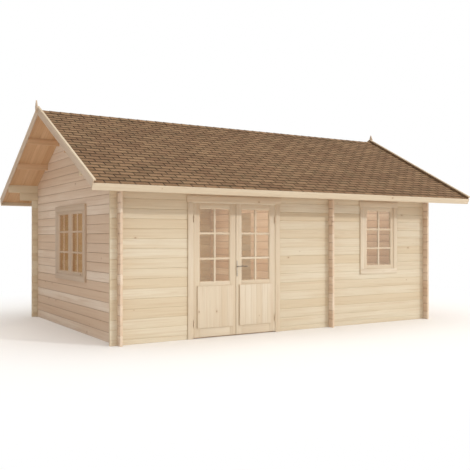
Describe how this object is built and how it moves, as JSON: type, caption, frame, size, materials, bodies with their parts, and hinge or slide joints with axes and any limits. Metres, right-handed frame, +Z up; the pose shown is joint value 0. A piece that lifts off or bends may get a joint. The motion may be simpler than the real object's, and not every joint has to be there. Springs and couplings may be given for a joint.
{
  "type": "log garden chalet",
  "caption": "Log garden chalet with crossed corners, shingled gable roof, half-glazed double door, front window, paired gable window and an inner partition.",
  "frame": {"origin": "middle of the plan at ground level", "axes": "+X along the front to the right, +Y from the front to the back, +Z up"},
  "size_m": [6.754, 4.9376, 3.4755],
  "materials": {
    "log_spruce": "planed, unpainted",
    "trim_spruce": "planed, unpainted",
    "board_spruce": "planed, unpainted",
    "shingle": "mineral granules on bitumen",
    "pane": "clear",
    "hinge_steel": "dull",
    "handle_metal": "satin"
  },
  "bodies": {
    "building": {"front_wall_left": "log_spruce", "front_wall_right": "log_spruce", "front_wall_top": "log_spruce", "back_wall": "log_spruce", "left_gable_wall": "log_spruce", "right_gable_wall": "log_spruce", "left_gable_peak": "log_spruce", "right_gable_peak": "log_spruce", "partition_wall": "log_spruce", "partition_sill": "log_spruce", "floor_joists": "board_spruce", "main_room_floor": "board_spruce", "side_room_floor": "board_spruce", "ridge_purlin": "board_spruce", "front_purlins": "board_spruce", "rear_purlins": "board_spruce", "front_roof_boards": "board_spruce", "rear_roof_boards": "board_spruce", "front_shingles": "shingle", "rear_shingles": "shingle", "ridge_cap": "shingle", "left_barge_boards": "trim_spruce", "right_barge_boards": "trim_spruce", "left_barge_strips": "trim_spruce", "right_barge_strips": "trim_spruce", "front_fascia": "trim_spruce", "rear_fascia": "trim_spruce", "left_finial": "trim_spruce", "right_finial": "trim_spruce", "door_frame": "trim_spruce", "door_stops": "trim_spruce", "door_threshold": "board_spruce", "door_casing": "trim_spruce", "frame_hinges": "hinge_steel", "front_window_frame": "trim_spruce", "front_window_casing": "trim_spruce", "front_window_sash": "trim_spruce", "front_window_glass": "pane", "gable_window_frame": "trim_spruce", "gable_window_casing": "trim_spruce", "gable_window_sashes": "trim_spruce", "gable_window_glass": "pane"},
    "left_leaf": {"left_door_leaf": "trim_spruce", "left_door_panel": "log_spruce", "left_door_glass": "pane", "left_leaf_hinges": "hinge_steel"},
    "right_leaf": {"right_door_leaf": "trim_spruce", "right_door_panel": "log_spruce", "right_door_glass": "pane", "right_leaf_hinges": "hinge_steel", "meeting_strip": "trim_spruce", "handle_plates": "handle_metal"},
    "handle": {"door_handle": "handle_metal"}
  },
  "joints": [
    {"name": "left_leaf_hinge", "type": "hinge", "parent": "building", "child": "left_leaf", "pos_m": [-1.7165, -1.936, 0.941], "axis": [0, 0, -1], "range_deg": [0, 110]},
    {"name": "right_leaf_hinge", "type": "hinge", "parent": "building", "child": "right_leaf", "pos_m": [-0.3415, -1.936, 0.941], "axis": [0, 0, 1], "range_deg": [0, 110]},
    {"name": "handle_turn", "type": "hinge", "parent": "right_leaf", "child": "handle", "pos_m": [-1.01, -1.919, 0.995], "axis": [0, 1, 0], "range_deg": [0, 40], "stiffness_Nm_per_rad": 1, "springref_deg": -20.05}
  ]
}
